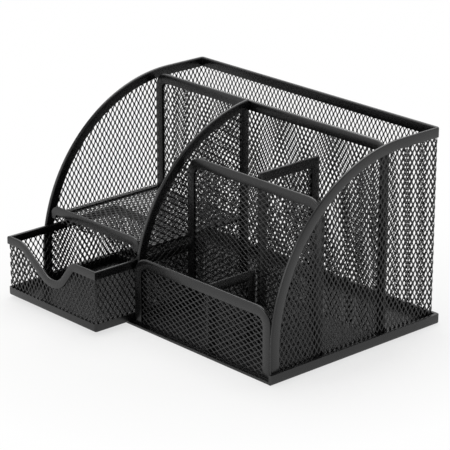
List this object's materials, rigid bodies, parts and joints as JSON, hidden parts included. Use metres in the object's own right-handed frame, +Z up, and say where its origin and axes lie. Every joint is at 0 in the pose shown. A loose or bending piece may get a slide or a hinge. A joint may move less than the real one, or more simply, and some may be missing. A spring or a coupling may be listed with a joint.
{
  "type": "pen stand with drawer",
  "caption": "Desk organizer of black coated steel mesh with quarter-round sides, a letter slot, pen compartments and a sliding drawer under a small tray.",
  "frame": {"origin": "underside of the base, at the middle of its front border, level with the side panels' front edges", "axes": "+X to the right along the front, +Y to the back, +Z up"},
  "size_m": [0.2248, 0.1749, 0.13],
  "materials": {
    "coated_mesh": "satin black powder coat on expanded steel mesh",
    "coated_rim": "satin black powder coat on folded sheet steel",
    "coated_tray": "satin black powder coat on pressed sheet steel"
  },
  "bodies": {
    "case": {"base_tray": "coated_tray", "cross_wall_mesh": "coated_mesh", "cross_wall_rim": "coated_rim", "front_cell_divider_mesh": "coated_mesh", "front_cell_divider_rim": "coated_rim", "front_wall_mesh": "coated_mesh", "front_wall_rim": "coated_rim", "left_side_mesh": "coated_mesh", "left_side_rim": "coated_rim", "middle_divider_mesh": "coated_mesh", "middle_divider_rim": "coated_rim", "rear_cell_divider_mesh": "coated_mesh", "rear_cell_divider_rim": "coated_rim", "rear_wall_mesh": "coated_mesh", "rear_wall_rim": "coated_rim", "right_side_mesh": "coated_mesh", "right_side_rim": "coated_rim", "shelf_left_rail": "coated_rim", "shelf_lip_mesh": "coated_mesh", "shelf_lip_rim": "coated_rim", "shelf_mesh": "coated_mesh", "shelf_right_rail": "coated_rim", "slot_divider_mesh": "coated_mesh", "slot_divider_rim": "coated_rim"},
    "drawer": {"drawer_back_rim": "coated_rim", "drawer_front_mesh": "coated_mesh", "drawer_front_rim": "coated_rim", "drawer_left_mesh": "coated_mesh", "drawer_rear_mesh": "coated_mesh", "drawer_right_mesh": "coated_mesh", "drawer_tray": "coated_tray"}
  },
  "joints": [
    {"name": "drawer_slide", "type": "slide", "parent": "case", "child": "drawer", "axis": [0, -1, 0], "range_m": [-0.0305, 0.047]}
  ]
}
